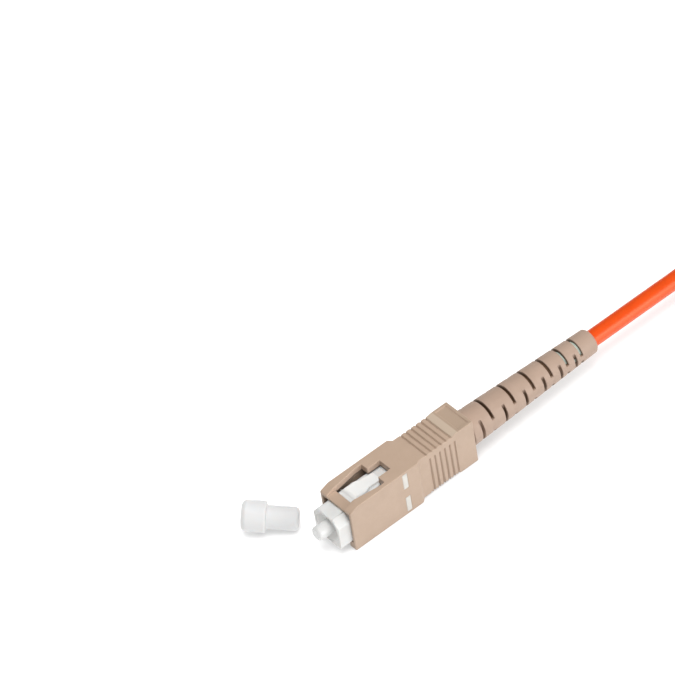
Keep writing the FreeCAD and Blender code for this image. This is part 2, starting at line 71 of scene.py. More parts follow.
class Recipe:
    """One node material, grown around a Principled shader."""

    def __init__(self, name: str) -> None:
        """Start an empty recipe under this name."""
        self.material = bpy.data.materials.new(name)
        self.material.use_nodes = True
        self.tree = self.material.node_tree
        self.shader = next(n for n in self.tree.nodes if n.type == "BSDF_PRINCIPLED")
        self.coordinates = self.tree.nodes.new("ShaderNodeTexCoord")

    def set(self, **sockets: float | Colour) -> None:
        """Set shader sockets; an underscore in a key stands for a space.

        Args:
            **sockets: socket names with their values.
        """
        for key, value in sockets.items():
            whole = (*value, 1.0) if isinstance(value, tuple) and key != "Subsurface_Radius" else value
            self.shader.inputs[key.replace("_", " ")].default_value = whole

    def join(self, source: bpy.types.NodeSocket, target: bpy.types.NodeSocket) -> None:
        """Link one socket to another."""
        self.tree.links.new(source, target)

    def stretched(self, along: Point, from_uv: bool = False) -> bpy.types.NodeSocket:
        """Coordinates scaled along each axis.

        Args:
            along: repeats for each metre, or for each unit of the UV map.
            from_uv: whether the piece's own UV map is read.

        Returns:
            The socket with the scaled coordinates.
        """
        mapping = self.tree.nodes.new("ShaderNodeMapping")
        mapping.inputs["Scale"].default_value = along
        self.join(self.coordinates.outputs["UV" if from_uv else "Object"], mapping.inputs["Vector"])
        return mapping.outputs["Vector"]

    def noise(self, size: float, detail: float = 3.0,
              where: bpy.types.NodeSocket | None = None) -> bpy.types.NodeSocket:
        """Cloudy noise with features of about this size.

        Args:
            size: feature size in metres, or in units of the given coordinates.
            detail: octaves of finer noise.
            where: coordinates to read in place of the object's own.

        Returns:
            The socket with the noise value.
        """
        cloud = self.tree.nodes.new("ShaderNodeTexNoise")
        cloud.inputs["Scale"].default_value = 1.0 / size
        cloud.inputs["Detail"].default_value = detail
        self.join(where or self.coordinates.outputs["Object"], cloud.inputs["Vector"])
        return cloud.outputs["Fac"]

    def bands(self, pitch: float, axis: str, blur: float = 0.0) -> bpy.types.NodeSocket:
        """Even bands across one axis.

        Args:
            pitch: distance between bands in metres.
            axis: the axis that the bands are stacked along, X, Y or Z.
            blur: how far noise bends the bands.

        Returns:
            The socket with the band value.
        """
        wave = self.tree.nodes.new("ShaderNodeTexWave")
        wave.bands_direction = axis
        wave.inputs["Scale"].default_value = 1.0 / (3.2 * pitch)
        wave.inputs["Distortion"].default_value = blur
        wave.inputs["Detail Scale"].default_value = 2.0
        self.join(self.coordinates.outputs["Object"], wave.inputs["Vector"])
        return wave.outputs["Fac"]

    def named(self, layer: str) -> bpy.types.NodeSocket:
        """A value that the mesh carries on its vertices.

        Args:
            layer: the attribute's name.

        Returns:
            The socket with the value.
        """
        reader = self.tree.nodes.new("ShaderNodeAttribute")
        reader.attribute_name = layer
        return reader.outputs["Fac"]

    def ramp(self, source: bpy.types.NodeSocket, low: float, high: float,
             start: float = 0.3, end: float = 0.7) -> bpy.types.NodeSocket:
        """Map part of a value's range onto another range.

        Args:
            source: the value to map.
            low: result at start and below.
            high: result at end and above.
            start: value where the change begins.
            end: value where it stops.

        Returns:
            The socket with the mapped value.
        """
        span = self.tree.nodes.new("ShaderNodeMapRange")
        for key, value in (("From Min", start), ("From Max", end), ("To Min", low), ("To Max", high)):
            span.inputs[key].default_value = value
        self.join(source, span.inputs["Value"])
        return span.outputs["Result"]

    def tint(self, share: bpy.types.NodeSocket, first: Colour | bpy.types.NodeSocket,
             second: Colour) -> bpy.types.NodeSocket:
        """Blend two colours by a value.

        Args:
            share: 0 for the first colour and 1 for the second.
            first: one colour, or a socket with it.
            second: the other colour.

        Returns:
            The socket with the blended colour.
        """
        mix = self.tree.nodes.new("ShaderNodeMix")
        mix.data_type = "RGBA"
        sockets = [s for s in mix.inputs if s.type == "RGBA"]
        if isinstance(first, tuple):
            sockets[0].default_value = (*first, 1.0)
        else:
            self.join(first, sockets[0])
        sockets[1].default_value = (*second, 1.0)
        self.join(share, mix.inputs["Factor"])
        return next(s for s in mix.outputs if s.type == "RGBA")

    def relief(self, height: bpy.types.NodeSocket, depth: float,
               under: bpy.types.NodeSocket | None = None) -> bpy.types.NodeSocket:
        """A bump of this depth, laid over another one if given.

        Args:
            height: the value that stands for height.
            depth: height of a full step, in metres.
            under: the normal of a relief below this one.

        Returns:
            The socket with the bent normal.
        """
        bump = self.tree.nodes.new("ShaderNodeBump")
        bump.inputs["Strength"].default_value = 1.0
        bump.inputs["Distance"].default_value = depth
        self.join(height, bump.inputs["Height"])
        if under is not None:
            self.join(under, bump.inputs["Normal"])
        return bump.outputs["Normal"]

    def dress(self, colour: bpy.types.NodeSocket | None = None,
              roughness: bpy.types.NodeSocket | None = None,
              normal: bpy.types.NodeSocket | None = None) -> bpy.types.Material:
        """Feed the shader and hand the material over.

        Args:
            colour: socket for the base colour.
            roughness: socket for the roughness.
            normal: socket for the normal.

        Returns:
            The finished material.
        """
        for source, key in ((colour, "Base Color"), (roughness, "Roughness"), (normal, "Normal")):
            if source is not None:
                self.join(source, self.shader.inputs[key])
        return self.material


@dataclass(frozen=True)
class MouldedPlastic:
    """Injection-moulded plastic with a fine eroded grain and a faint drift of tone."""

    name: str
    colour: Colour
    deep: Colour
    roughness: float = 0.5
    grain: float = 0.11 * MM
    grain_depth: float = 0.003 * MM
    drift: float = 3.0 * MM
    glow: float = 0.0
    glow_reach: float = 0.6 * MM
    tints: tuple[tuple[str, Colour, float, float], ...] = ()
    # Strength of an emission laid on by an attribute: painted light.
    painted_glow: float = 0.0
    ior: float = 1.5
    scatter: Colour = (1.0, 0.8, 0.7)
    uneven: float = 0.06
    flow_share: int = 9

    def material(self) -> bpy.types.Material:
        """Return the plastic's material."""
        recipe = Recipe(self.name)
        recipe.set(IOR=self.ior, Subsurface_Weight=self.glow, Subsurface_Scale=self.glow_reach,
                   Subsurface_Radius=self.scatter)
        tone = recipe.ramp(recipe.noise(self.drift, 4.0), 0.0, 1.0)
        grain = recipe.noise(self.grain, 2.0)
        spread = recipe.ramp(recipe.noise(self.drift / 4, 3.0),
                             self.roughness - self.uneven, self.roughness + self.uneven)
        flow = recipe.noise(self.grain * self.flow_share, 2.0)
        under = recipe.relief(flow, self.grain_depth * 2)
        colour = recipe.tint(tone, self.colour, self.deep)
        # Attribute layers blend in other colours: here they carry painted shade, painted light, a painted
        # sheen and a duller rear top.
        for layer, other, start, end in self.tints:
            colour = recipe.tint(recipe.ramp(recipe.named(layer), 0.0, 1.0, start, end), colour, other)
        # Emission by an attribute: painted glow.
        if self.painted_glow:
            recipe.set(Emission_Color=self.colour)
            recipe.join(recipe.ramp(recipe.named("painted_glow"), 0.0, self.painted_glow, 0.0, 1.0),
                        recipe.shader.inputs["Emission Strength"])
        return recipe.dress(colour, spread, recipe.relief(grain, self.grain_depth, under))


@dataclass(frozen=True)
class JacketPlastic:
    """Extruded cable jacket: long drawn lines and a slight unevenness across them."""

    name: str
    colour: Colour
    deep: Colour
    roughness: float = 0.38
    lines: tuple[float, float, float] = (40.0, 60.0, 1.0)
    line_depth: float = 0.004 * MM
    grain: float = 0.16 * MM
    drift: float = 4.0 * MM
    ior: float = 1.7
    glow: float = 0.08
    glow_reach: float = 0.5 * MM
    scatter: Colour = (1.0, 0.4, 0.2)
    shine: Colour = (1.0, 0.90, 0.62)

    def material(self) -> bpy.types.Material:
        """Return the jacket's material."""
        recipe = Recipe(self.name)
        recipe.set(IOR=self.ior, Subsurface_Weight=self.glow, Subsurface_Scale=self.glow_reach,
                   Subsurface_Radius=self.scatter, Specular_Tint=self.shine)
        drawn = recipe.noise(1.0, 3.0, recipe.stretched(self.lines, from_uv=True))
        grain = recipe.noise(self.grain, 2.0)
        tone = recipe.ramp(recipe.noise(self.drift, 3.0), 0.0, 1.0)
        spread = recipe.ramp(drawn, self.roughness - 0.05, self.roughness + 0.07)
        under = recipe.relief(drawn, self.line_depth)
        return recipe.dress(recipe.tint(tone, self.colour, self.deep), spread,
                            recipe.relief(grain, self.line_depth / 2, under))


@dataclass(frozen=True)
class PolishedCeramic:
    """Dense white ceramic with a polish and a faint clouding under the surface."""

    name: str
    colour: Colour
    deep: Colour
    roughness: float = 0.26
    cloud: float = 0.8 * MM
    ring_pitch: float = 0.12 * MM
    ring_depth: float = 0.0004 * MM
    ior: float = 2.0
    glow: float = 0.35
    glow_reach: float = 0.5 * MM
    scatter: Colour = (1.0, 0.95, 0.9)

    def material(self) -> bpy.types.Material:
        """Return the ceramic's material."""
        recipe = Recipe(self.name)
        recipe.set(IOR=self.ior, Subsurface_Weight=self.glow, Subsurface_Scale=self.glow_reach,
                   Subsurface_Radius=self.scatter, Specular_IOR_Level=0.4)
        cloud = recipe.ramp(recipe.noise(self.cloud, 4.0), 0.0, 1.0)
        ground = recipe.bands(self.ring_pitch, "X", 1.0)
        spread = recipe.ramp(ground, self.roughness - 0.03, self.roughness + 0.05)
        return recipe.dress(recipe.tint(cloud, self.colour, self.deep), spread,
                            recipe.relief(ground, self.ring_depth))


@dataclass(frozen=True)
class TurnedMetal:
    """Lathe-turned or drawn metal with fine rings across the ferrule's axis."""

    name: str
    colour: Colour
    deep: Colour
    roughness: float = 0.28
    ring_pitch: float = 0.07 * MM
    ring_depth: float = 0.0015 * MM
    stain: float = 1.5 * MM

    def material(self) -> bpy.types.Material:
        """Return the metal's material."""
        recipe = Recipe(self.name)
        recipe.set(Metallic=1.0)
        rings = recipe.bands(self.ring_pitch, "X", 1.5)
        stain = recipe.ramp(recipe.noise(self.stain, 5.0), 0.0, 1.0)
        spread = recipe.ramp(rings, self.roughness - 0.06, self.roughness + 0.1, 0.0, 1.0)
        return recipe.dress(recipe.tint(stain, self.colour, self.deep), spread,
                            recipe.relief(rings, self.ring_depth))


@dataclass(frozen=True)
class StrandedYarn:
    """Yellow strength yarn: long fine filaments along the cable."""

    name: str
    colour: Colour
    deep: Colour
    filaments: tuple[float, float, float] = (250.0, 9000.0, 9000.0)
    filament_depth: float = 0.02 * MM
    sheen: float = 0.3
    ior: float = 1.45

    def material(self) -> bpy.types.Material:
        """Return the yarn's material."""
        recipe = Recipe(self.name)
        recipe.set(Sheen_Weight=self.sheen, IOR=self.ior)
        filaments = recipe.noise(1.0, 4.0, recipe.stretched(self.filaments))
        tone = recipe.ramp(filaments, 0.0, 1.0, 0.35, 0.65)
        spread = recipe.ramp(filaments, 0.45, 0.7)
        return recipe.dress(recipe.tint(tone, self.deep, self.colour), spread,
                            recipe.relief(filaments, self.filament_depth))


@dataclass(frozen=True)
class ClearGlass:
    """Bare glass fibre."""

    name: str
    colour: Colour
    ior: float = 1.46
    haze: float = 0.05 * MM

    def material(self) -> bpy.types.Material:
        """Return the glass's material."""
        recipe = Recipe(self.name)
        recipe.set(Base_Color=self.colour, IOR=self.ior, Transmission_Weight=1.0)
        spread = recipe.ramp(recipe.noise(self.haze, 2.0), 0.02, 0.06)
        return recipe.dress(roughness=spread)


class Finish(Enum):
    """The finishes that the plug's pieces wear."""

    GRIP = MouldedPlastic("grip_beige", (0.442, 0.324, 0.243), (0.418, 0.305, 0.226), roughness=0.46,
                          tints=(("panel", (0.370, 0.276, 0.204), 0.0, 1.0),
                                 # Painted sheen: a paler colour on the ramp on top, standing in for its
                                 # highlight.
                                 ("painted_sheen", (0.480, 0.380, 0.292), 0.0, 1.0),
                                 # Painted light: a lighter colour on the bay's wall that faces the side
                                 # lamp, which gets little light.
                                 ("wall", (0.600, 0.440, 0.335), 0.0, 1.0),
                                 # Painted shade: a near-black colour deep inside the latch bay.
                                 ("depth", (0.035, 0.022, 0.014), 1.0 * MM, 1.25 * MM)))
    # Boot: the slots darken with depth below the surface, as painted shade.
    BOOT = MouldedPlastic("boot_beige", (0.395, 0.286, 0.222), (0.370, 0.266, 0.204), roughness=0.58,
                          grain=0.09 * MM, grain_depth=0.004 * MM,
                          tints=(("depth", (0.095, 0.052, 0.027), 0.0, 0.5 * MM),))
    # Frame: the cavity and the latch ears glow by emission, as painted light.
    FRAME = MouldedPlastic("frame_white", (0.65, 0.65, 0.64), (0.62, 0.62, 0.605), roughness=0.5,
                           glow=0.3, glow_reach=0.9 * MM, painted_glow=0.3)
    BARS = MouldedPlastic("marker_white", (0.60, 0.58, 0.54), (0.57, 0.55, 0.51), roughness=0.45, glow=0.1)
    CAP = MouldedPlastic("cap_white", (0.70, 0.70, 0.70), (0.67, 0.67, 0.67), roughness=0.38, glow=0.5)
    GUIDE = MouldedPlastic("guide_white", (0.82, 0.82, 0.80), (0.78, 0.78, 0.76), roughness=0.4, glow=0.3)
    SLEEVE = MouldedPlastic("sleeve_grey_green", (0.50, 0.56, 0.49), (0.45, 0.51, 0.44), roughness=0.4,
                            glow=0.2)
    BUFFER = MouldedPlastic("buffer_orange", (0.80, 0.22, 0.03), (0.74, 0.19, 0.025), roughness=0.4)
    JACKET = JacketPlastic("jacket_orange", (0.70, 0.064, 0.002), (0.66, 0.056, 0.001))
    CERAMIC = PolishedCeramic("ferrule_ceramic", (0.67, 0.67, 0.66), (0.64, 0.64, 0.63))
    PLATED = TurnedMetal("nickel_plate", (0.66, 0.63, 0.57), (0.60, 0.57, 0.52))
    SPRING = TurnedMetal("spring_wire", (0.56, 0.57, 0.58), (0.48, 0.49, 0.50), ring_pitch=0.04 * MM)
    CRIMP = TurnedMetal("crimp_alloy", (0.74, 0.74, 0.75), (0.68, 0.68, 0.70), roughness=0.4)
    YARN = StrandedYarn("strength_yarn", (0.80, 0.58, 0.14), (0.52, 0.33, 0.05))
    GLASS = ClearGlass("fibre_glass", (0.95, 0.97, 1.0))

    def on(self, piece: bpy.types.Object) -> None:
        """Give a piece this finish and no other.

        Args:
            piece: the object that wears it.
        """
        if self.value.name not in bpy.data.materials:
            self.value.material()
        piece.data.materials.clear()
        piece.data.materials.append(bpy.data.materials[self.value.name])


# Mesh tools -----------------------------------------------------------------------------------


def clear_beside(shape: bmesh.types.BMesh, limit: float, reach: float) -> None:
    """Dissolve the smooth vertices that a rounding would run over.

    Args:
        shape: the mesh to work on.
        limit: angle between the faces' normals above which an edge is sharp, in radians.
        reach: distance from a sharp vertex within which a smooth one goes.
    """
    sharp = {corner for edge in shape.edges if edge.is_manifold and edge.calc_face_angle() > limit
             for corner in edge.verts}
    nearby = kdtree.KDTree(len(sharp))
    for index, corner in enumerate(sharp):
        nearby.insert(corner.co, index)
    nearby.balance()
    doomed = [corner for corner in shape.verts
              if sharp and corner not in sharp and nearby.find(corner.co)[2] < reach]
    bmesh.ops.dissolve_verts(shape, verts=doomed)


def round_edges(shape: bmesh.types.BMesh, radius: float, sharper_than: float, segments: int = 3,
                chosen: Callable[[bmesh.types.BMEdge], bool] = lambda edge: True) -> None:
    """Round the chosen edges whose faces meet more sharply than an angle.

    Args:
        shape: the mesh to work on.
        radius: width of the rounding.
        sharper_than: angle between the faces' normals, in degrees.
        segments: faces across the rounding.
        chosen: says whether an edge is rounded.
    """
    limit = math.radians(sharper_than)
    clear_beside(shape, limit, CLEAR_SHARE * radius)
    bmesh.ops.triangulate(shape, faces=[f for f in shape.faces if len(f.verts) > 4],
                          quad_method="BEAUTY", ngon_method="BEAUTY")
    edges = [e for e in shape.edges if e.is_manifold and e.calc_face_angle() > limit and chosen(e)]
    bmesh.ops.bevel(shape, geom=edges, offset=radius, offset_type="OFFSET", affect="EDGES",
                    segments=segments, profile=PROFILE_ROUND, material=-1, clamp_overlap=False,
                    miter_outer="SHARP", miter_inner="SHARP")
    bmesh.ops.triangulate(shape, faces=[f for f in shape.faces if len(f.verts) > 4],
                          quad_method="BEAUTY", ngon_method="BEAUTY")


def mark(parts: bmesh.types.BMVertSeq | bmesh.types.BMFaceSeq, layer: str,
         share: Callable[[bmesh.types.BMVert | bmesh.types.BMFace], float]) -> None:
    """Write a value on every vertex or face.

    Args:
        parts: the mesh's vertices or faces.
        layer: the attribute's name.
        share: gives the value of one of them.
    """
    values = parts.layers.float.new(layer)
    for part in parts:
        part[values] = share(part)


def off_axis(place: Vector) -> float:
    """Distance of a place from the ferrule's axis.

    Args:
        place: the place.

    Returns:
        The distance in metres.
    """
    return math.hypot(place.y, place.z - AXIS_HEIGHT)


def packed_copy(node: str) -> bmesh.types.BMesh:
    """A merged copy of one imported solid, with its flat faces made whole.

    Args:
        node: the solid's name.

    Returns:
        The copy as an editable mesh.
    """
    shape = bmesh.new()
    shape.from_mesh(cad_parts[node].data)
    bmesh.ops.remove_doubles(shape, verts=shape.verts, dist=MERGE_WITHIN)
    bmesh.ops.dissolve_limit(shape, angle_limit=FLAT_BELOW, use_dissolve_boundaries=False,
                             verts=shape.verts, edges=shape.edges)
    return shape


def finish_piece(shape: bmesh.types.BMesh, name: str, body: Body, finish: Finish,
                 smooth_below: float = 32.0) -> bpy.types.Object:
    """Turn an editable mesh into a dressed piece that rides on a body.

    Args:
        shape: the mesh, which is freed.
        name: the piece's name.
        body: the body it moves with.
        finish: what it wears.
        smooth_below: edges flatter than this many degrees are shaded smooth.

    Returns:
        The new object.
    """
    mesh = bpy.data.meshes.new(name)
    shape.to_mesh(mesh)
    shape.free()
    mesh.shade_smooth()
    mesh.set_sharp_from_angle(angle=math.radians(smooth_below))
    piece = bpy.data.objects.new(name, mesh)
    bpy.context.scene.collection.objects.link(piece)
    even_edges(piece)
    finish.on(piece)
    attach(piece, body.value)
    log.info("%s: %d faces on %s", name, len(mesh.polygons), body.value)
    return piece


def even_edges(piece: bpy.types.Object) -> None:
    """Weight the normals by face area, so that flat faces stay flat beside rounded edges.

    Args:
        piece: the object that gets the modifier.
    """
    weighting = piece.modifiers.new("even_edges", "WEIGHTED_NORMAL")
    weighting.keep_sharp = True


# Studio ---------------------------------------------------------------------------------------


@dataclass(frozen=True)
class Lamp:
    """One rectangular light that faces the plug."""

    name: str
    place: Point
    sides: tuple[float, float]
    power: float
    in_gloss: bool = True

    def hang(self) -> None:
        """Hang the lamp."""
        data = bpy.data.lights.new(self.name, "AREA")
        data.shape, data.energy = "RECTANGLE", self.power
        data.size, data.size_y = self.sides
        light = bpy.data.objects.new(self.name, data)
        light.location = self.place
        light.rotation_mode = "QUATERNION"
        light.rotation_quaternion = Vector(self.place).to_track_quat("Z", "Y")
        light.visible_glossy = self.in_gloss
        bpy.context.scene.collection.objects.link(light)


@dataclass
class Studio:
    """Camera, pale floor and soft lights."""

    aim: Point = (-3.90 * MM, -16.89 * MM, 20.76 * MM)
    distance: float = 1.0
    azimuth: float = 146.73
    elevation: float = 45.02
    roll: float = -10.0
    lens: float = 339.2
    sensor: float = 36.0
    floor_side: float = 4.0
    floor_tone: float = 0.42
    floor_glow: float = 0.86
    floor_drift: float = 0.2
    # Reach and strength of the painted contact shadow on the floor.
    painted_shadow_reach: float = 5.0 * MM
    painted_shadow_share: float = 0.35
    painted_shadow_ends: float = 0.9
    dome: float = 0.22
    lamps: tuple[Lamp, ...] = (Lamp("side_strip", (-0.43, 1.0, 0.32), (1.6, 0.58), 8.7),
                               Lamp("top_panel", (0.05, 0.12, 1.2), (0.8, 0.8), 15.2, in_gloss=False))

    def build(self) -> None:
        """Make everything around the object."""
        self.camera()
        self.floor()
        self.lights()

    def camera(self) -> None:
        """Place the camera by its bearing, height and roll about its aim."""
        azimuth, elevation, roll = (math.radians(a) for a in (self.azimuth, self.elevation, self.roll))
        back = Vector((math.sin(azimuth) * math.cos(elevation),
                       -math.cos(azimuth) * math.cos(elevation), math.sin(elevation)))
        level = Vector((math.cos(azimuth), math.sin(azimuth), 0.0))
        upward = back.cross(level)
        right = level * math.cos(roll) + upward * math.sin(roll)
        upward = back.cross(right)
        turn = Matrix((right, upward, back)).transposed().to_4x4()
        data = bpy.data.cameras.new("studio_camera")
        data.lens, data.sensor_width = self.lens, self.sensor
        data.clip_start, data.clip_end = 0.05, 20.0
        camera = bpy.data.objects.new("studio_camera", data)
        camera.matrix_world = Matrix.Translation(Vector(self.aim) + back * self.distance) @ turn
        bpy.context.scene.collection.objects.link(camera)
        bpy.context.scene.camera = camera

    def floor(self) -> None:
        """Lay the light table at the height of the plug's resting face."""
        shape = bmesh.new()
        bmesh.ops.create_grid(shape, x_segments=2, y_segments=2, size=self.floor_side / 2)
        mesh = bpy.data.meshes.new("floor")
        shape.to_mesh(mesh)
        shape.free()
        floor = bpy.data.objects.new("floor", mesh)
        bpy.context.scene.collection.objects.link(floor)
        recipe = Recipe("pale_floor")
        recipe.set(Specular_IOR_Level=0.1, Roughness=0.9, Emission_Color=(1.0, 1.0, 1.0))
        # Ambient occlusion dims the floor's glow near the pieces: a painted contact shadow.
        painted_shadow = recipe.tree.nodes.new("ShaderNodeAmbientOcclusion")
        painted_shadow.inputs["Distance"].default_value = self.painted_shadow_reach
        glow = recipe.ramp(painted_shadow.outputs["AO"], self.painted_shadow_share * self.floor_glow, self.floor_glow,
                           0.0, self.painted_shadow_ends)
        recipe.join(glow, recipe.shader.inputs["Emission Strength"])
        tone = recipe.ramp(recipe.noise(self.floor_drift, 2.0), 0.0, 1.0)
        white, off_white = (self.floor_tone,) * 3, (self.floor_tone - 0.01,) * 3
        mesh.materials.append(recipe.dress(recipe.tint(tone, white, off_white)))

    def lights(self) -> None:
        """Hang a grey dome, a low strip towards the camera's side and a broad panel above."""
        world = bpy.data.worlds.new("white_dome")
        bpy.context.scene.world = world
        world.use_nodes = True
        sky = next(n for n in world.node_tree.nodes if n.type == "BACKGROUND")
        sky.inputs["Color"].default_value = (1.0, 1.0, 1.0, 1.0)
        sky.inputs["Strength"].default_value = self.dome
        for lamp in self.lamps:
            lamp.hang()
        bpy.context.scene.view_settings.view_transform = "Standard"


# Cable ----------------------------------------------------------------------------------------


@dataclass
class FibreCable:
    """The orange cable: out of the boot, along the surface and into a neat coil."""

    diameter: float = 3.0 * MM
    length: float = 1.0
    exit: Point = (-40.2 * MM, 0.0, AXIS_HEIGHT)
    route: list[Point] = field(default_factory=lambda: [
        (-10.3 * MM, 0.0, 4.5 * MM),
        (-52.0 * MM, 0.0, 4.5 * MM),
        (-64.0 * MM, 0.0, 4.3 * MM),
        (-75.5 * MM, -4.6 * MM, 2.5 * MM),
    ])
    coil_centre: tuple[float, float] = (-95.0 * MM, 6.3 * MM)
    outer_turn: float = 19.5 * MM
    inner_turn: float = 16.5 * MM
    layers: int = 4
    points_per_turn: int = 16
    entry_angle: float = -64.0
    climb_points: int = 4
    inward: tuple[float, ...] = (1.2 * MM, 3.5 * MM, 6.6 * MM)
    facets: tuple[int, int] = (5, 6)
    buffer_diameter: float = 0.9 * MM
    buffer_length: float = 11.0 * MM
    buffer_sag: float = 0.8
    yarn_strands: int = 7
    yarn_radius: float = 0.16 * MM
    yarn_reach: tuple[float, float] = (0.3, 0.62)
    yarn_shortfall: float = 0.1
    yarn_fan: tuple[float, float, float] = (0.9 * MM, 1.3 * MM, 3.4 * MM)
    yarn_sag: float = 0.62

    def build(self) -> None:
        points = self.route + self.coil()
        cable = self.tube("cable_jacket", points, self.diameter / 2, Finish.JACKET)
        trimmings = self.prepared_end(Vector(points[-2]), Vector(points[-1]))
        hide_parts("cable", "cable_coil")

    def tube(self, name: str, points: list[Point], radius: float, finish: Finish) -> bpy.types.Object:
        """A round tube along one smooth spline.

        Args:
            name: the piece's name.
            points: control points from end to end.
            radius: the tube's radius.
            finish: what it wears.

        Returns:
            The curve object.
        """
        data = bpy.data.curves.new(name, "CURVE")
        data.dimensions = "3D"
        data.bevel_depth = radius
        data.bevel_resolution, data.resolution_u = self.facets
        data.use_fill_caps = True
        spline = data.splines.new("NURBS")
        spline.points.add(len(points) - 1)
        for control, point in zip(spline.points, points):
            control.co = (*point, 1.0)
        spline.order_u = 3
        spline.use_endpoint_u = True
        piece = bpy.data.objects.new(name, data)
        bpy.context.scene.collection.objects.link(piece)
        finish.on(piece)
        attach(piece, Body.CORE.value)
        log.info("%s: %d control points", name, len(points))
        return piece

    def coil(self) -> list[Point]:
        """Control points of the coil: up in layers on the outside, then down on the inside.

        Returns:
            The points, turn by turn, ending inside the ring near the surface.
        """
        step = math.tau / self.points_per_turn
        swell = 1.0 / (0.75 + 0.25 * math.cos(step))
        points = []
        turns = 2 * self.layers
        for number in range(turns * self.points_per_turn):
            turn, place = divmod(number, self.points_per_turn)
            rise = min(place / self.climb_points, 1.0)
            level = turn - 1 + rise if turn else 0.0
            radius = self.outer_turn
            if turn >= self.layers:
                radius = self.inner_turn
                level = 2 * self.layers - 1 - level
                if turn == self.layers:
                    radius += (self.outer_turn - self.inner_turn) * (1.0 - rise)
                    level = self.layers - 1
            angle = math.radians(self.entry_angle) - number * step
            points.append(self.on_ring(radius * swell, angle, level))
        last = math.radians(self.entry_angle) - turns * math.tau
        for index, inward in enumerate(self.inward):
            points.append(self.on_ring(self.inner_turn * swell - inward, last - index * step, 0.0))
        return points

    def on_ring(self, radius: float, angle: float, level: float) -> Point:
        """A point of the coil.

        Args:
            radius: distance from the coil's centre.
            angle: bearing from the centre, in radians.
            level: layers above the lowest one.

        Returns:
            The point.
        """
        return (self.coil_centre[0] + radius * math.cos(angle),
                self.coil_centre[1] + radius * math.sin(angle),
                self.diameter * (level + 0.5))

    def prepared_end(self, before: Vector, end: Vector) -> list[bpy.types.Object]:
        """The stripped end: the fibre's buffer and a tuft of yarn.

        Args:
            before: the control point before the last.
            end: the last control point, at the cut of the jacket.

        Returns:
            The new pieces.
        """
        ahead = (end - before).normalized()
        aside = ahead.cross(Vector((0, 0, 1)))
        inside = end - ahead * self.diameter
        thin = self.buffer_diameter / 2
        drop = Vector((0, 0, thin - end.z))
        reach = end + ahead * self.buffer_length
        buffer = self.tube("end_buffer", [tuple(p) for p in (
            inside, end + ahead * self.diameter, (end + reach) / 2 + drop * self.buffer_sag, reach + drop)],
            thin, Finish.BUFFER)
        pieces = [buffer]
        middle_reach, tip_reach = self.yarn_reach
        root_fan, middle_fan, tip_fan = self.yarn_fan
        for index in range(self.yarn_strands):
            share = index / (self.yarn_strands - 1) * 2 - 1
            reached = self.buffer_length * (tip_reach - self.yarn_shortfall * share * share)
            tip = end + ahead * reached + aside * share * tip_fan
            middle = end + ahead * self.buffer_length * middle_reach + aside * share * middle_fan
            root = inside + aside * share * root_fan
            tip.z, middle.z = self.yarn_radius, end.z * self.yarn_sag
            pieces.append(self.tube(f"end_yarn_{index + 1}", [tuple(p) for p in (root, middle, tip)],
                                    self.yarn_radius, Finish.YARN))
        return pieces


# Plug -----------------------------------------------------------------------------------------


@dataclass
class GripHousing:
    """The sliding beige housing and its white marker bars."""

    edge: float = 0.14 * MM
    sharper_than: float = 25.0
    bar_edge: float = 0.07 * MM
    wall: float = 3.45 * MM
    crown: float = 9.0 * MM
    bay: tuple[float, float] = (2.0 * MM, 12.6 * MM)
    ramp_span: tuple[float, float] = (-9.9 * MM, -8.5 * MM)
    ramp_tilt: tuple[float, float] = (0.12, 0.5)
    top_skin: float = 0.6 * MM
    wall_skin: float = 1.4 * MM
    facing: float = 0.9
    wall_facing: float = 0.93
    dull: float = 0.7
    bars: int = 4

    def build(self) -> None:
        """Round the housing's edges and dress it with its bars."""
        shape = packed_copy("grip_housing")
        round_edges(shape, self.edge, self.sharper_than)
        # Painted shade: the latch bay darkens with depth below the top.
        mark(shape.verts, "depth", self.depth)
        # Painted sheen on the ramp on top.
        mark(shape.faces, "painted_sheen", self.painted_sheen)
        mark(shape.faces, "panel", self.panel)
        # Painted light on the bay's wall.
        mark(shape.faces, "wall", self.painted_wall_light)
        housing = finish_piece(shape, "grip_shell", Body.GRIP, Finish.GRIP)
        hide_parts("grip_housing")
        for number in range(1, self.bars + 1):
            bar = packed_copy(f"marker_bar_{number}")
            round_edges(bar, self.bar_edge, self.sharper_than)
            piece = finish_piece(bar, f"marker_{number}", Body.GRIP, Finish.BARS)
            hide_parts(f"marker_bar_{number}")

    def depth(self, corner: bmesh.types.BMVert) -> float:
        """How far a vertex lies below the top, inside the latch bay; the grip darkens with it there as
        painted shade.
        """
        place = corner.co
        inside = abs(place.y) < self.wall and self.bay[0] < place.x < self.bay[1]
        return self.crown - place.z if inside else 0.0

    def painted_sheen(self, face: bmesh.types.BMFace) -> float:
        """1 on the ramp's faces on top, which take a paler colour as a painted sheen in place of their
        highlight; 0 elsewhere.
        """
        place = face.calc_center_median()
        on_ramp = self.ramp_span[0] < place.x < self.ramp_span[1] and place.z > self.crown - self.top_skin
        return float(on_ramp and face.normal.x > self.ramp_tilt[0] and face.normal.z > self.ramp_tilt[1])

    def painted_wall_light(self, face: bmesh.types.BMFace) -> float:
        """1 on the bay's wall that faces the side lamp, which takes a lighter colour as painted light; 0
        elsewhere.
        """
        place = face.calc_center_median()
        in_bay = self.bay[0] < place.x < self.bay[1] and abs(place.y) < self.wall
        return float(in_bay and place.z > self.crown - self.wall_skin and face.normal.y > self.wall_facing)

    def panel(self, face: bmesh.types.BMFace) -> float:
        """How much a face belongs to the rear part of the top, which is a shade duller."""
        place = face.calc_center_median()
        behind = place.x < self.ramp_span[0] and place.z > self.crown - self.top_skin
        return self.dull if behind and face.normal.z > self.facing else 0.0


